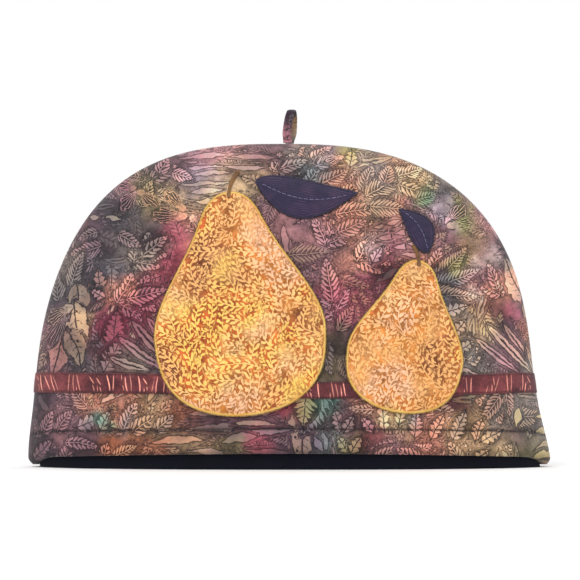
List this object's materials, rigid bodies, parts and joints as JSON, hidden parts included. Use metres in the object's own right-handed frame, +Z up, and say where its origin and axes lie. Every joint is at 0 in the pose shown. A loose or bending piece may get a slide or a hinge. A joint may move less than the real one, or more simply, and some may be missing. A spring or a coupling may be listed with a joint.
{
  "type": "tea cosy",
  "caption": "Domed padded tea cosy in leafy batik cotton, dark lining, trim band, golden pear applique and a cloth loop on the crown.",
  "frame": {"origin": "on the floor, under the middle of the hem", "axes": "+X to the right along the hem seen from the front, -Y out of the appliqued front, +Z up to the crown"},
  "size_m": [0.3396, 0.1112, 0.2336],
  "materials": {
    "batik": "mottled plum, olive and rust batik cotton, matt",
    "lining": "near-black navy cotton, matt",
    "trim": "burgundy cotton with salmon strokes, matt",
    "gold_print": "golden cotton with a russet leaf print, matt",
    "navy_print": "navy cotton, quilted with fine lines, matt"
  },
  "bodies": {
    "root": {"front_panel": "batik", "back_panel": "batik", "front_lining": "lining", "back_lining": "lining", "trim_band": "trim", "pear_large": "gold_print", "pear_small": "gold_print", "leaf_large": "navy_print", "leaf_small": "navy_print", "crown_loop": "batik"}
  },
  "joints": []
}
